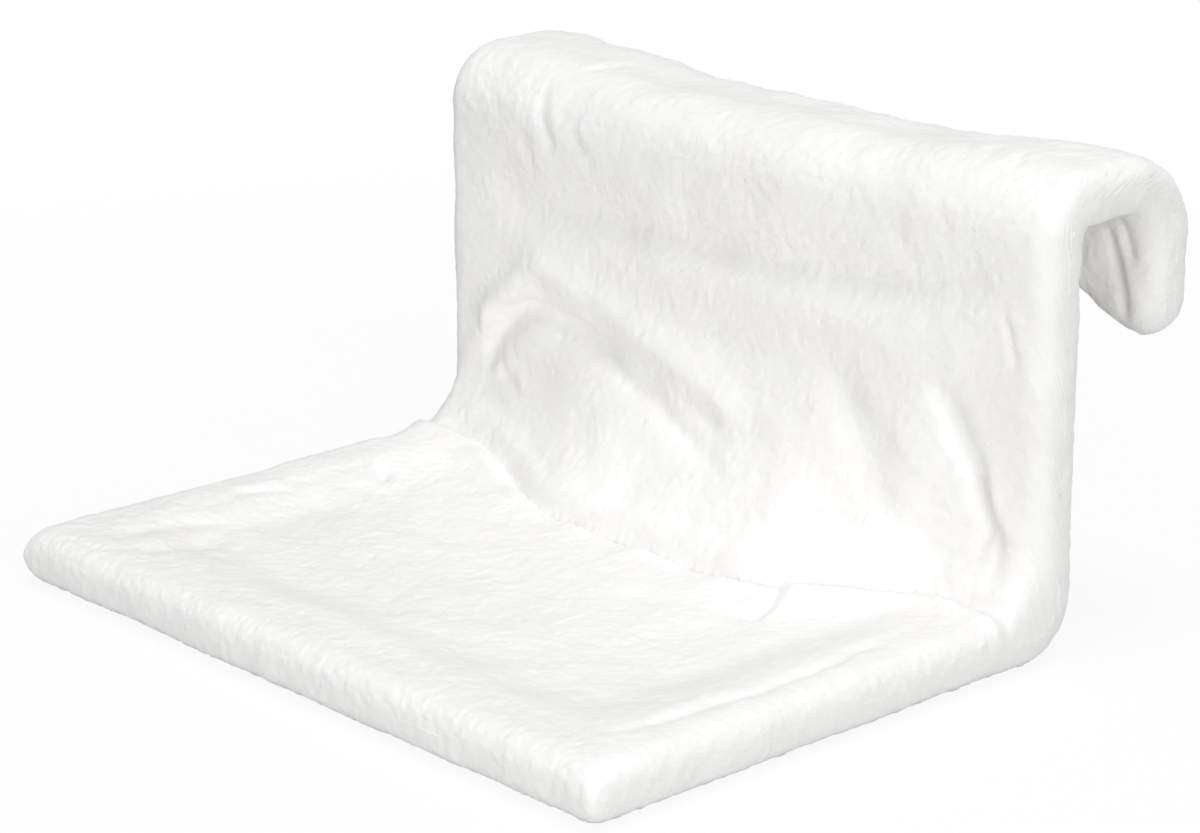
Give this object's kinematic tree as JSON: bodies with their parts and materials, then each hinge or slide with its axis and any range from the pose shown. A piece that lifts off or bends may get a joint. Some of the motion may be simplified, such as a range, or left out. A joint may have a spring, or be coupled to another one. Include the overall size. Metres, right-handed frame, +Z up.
{
  "type": "radiator cat bed",
  "caption": "Plush-covered hanging cat bed: a sunken seat and an upright back over a bent tube frame, with a padded hook that goes over a radiator.",
  "frame": {"origin": "centre of the whole bed's footprint, on the level its seat stands on", "axes": "+X along the width, +Y from the seat's front towards the hook, +Z up"},
  "size_m": [0.4501, 0.4071, 0.247],
  "materials": {
    "plush": "short-pile white plush, soft and matte with a faint sheen",
    "wadding": "loose polyester fleece wadding",
    "frame_tube": "white powder coat on steel tube",
    "plug": "black nylon",
    "zinc_steel": "zinc plated steel",
    "spring_steel": "oiled spring steel",
    "zip_tape": "woven polyester tape with moulded teeth",
    "zip_metal": "white enamelled zinc casting"
  },
  "bodies": {
    "bed": {"hook_tube": "frame_tube", "hook_tube_caps": "plug", "seat_tube": "frame_tube", "seat_crossbar": "frame_tube", "crossbar_plugs": "plug", "crossbar_screws": "zinc_steel", "saddle_washers": "zinc_steel", "left_button_spring": "spring_steel", "right_button_spring": "spring_steel", "seat_top_panel": "plush", "seat_under_panel": "plush", "back_front_panel": "plush", "back_rear_panel": "plush", "seat_wadding": "wadding", "back_wadding": "wadding", "zip_tape_upper": "zip_tape", "zip_tape_lower": "zip_tape", "zip_stops": "zip_metal"},
    "left_button": {"left_snap_button": "zinc_steel"},
    "right_button": {"right_snap_button": "zinc_steel"},
    "slider": {"zip_slider": "zip_metal"},
    "pull": {"zip_pull": "zip_metal"}
  },
  "joints": [
    {"name": "left_button_press", "type": "slide", "parent": "bed", "child": "left_button", "axis": [-1, 0, 0], "range_m": [0, 0.0033], "stiffness_N_per_m": 1500, "deforming": ["left_button_spring"]},
    {"name": "right_button_press", "type": "slide", "parent": "bed", "child": "right_button", "axis": [1, 0, 0], "range_m": [0, 0.0033], "stiffness_N_per_m": 1500, "deforming": ["right_button_spring"]},
    {"name": "zip_slide", "type": "slide", "parent": "bed", "child": "slider", "axis": [-1, 0, 0], "range_m": [0, 0.34], "deforming": ["zip_tape_upper", "zip_tape_lower"]},
    {"name": "pull_swing", "type": "hinge", "parent": "slider", "child": "pull", "pos_m": [0.17, 0.1179, 0.052], "axis": [0, 0, -1], "range_deg": [0, 170]}
  ]
}
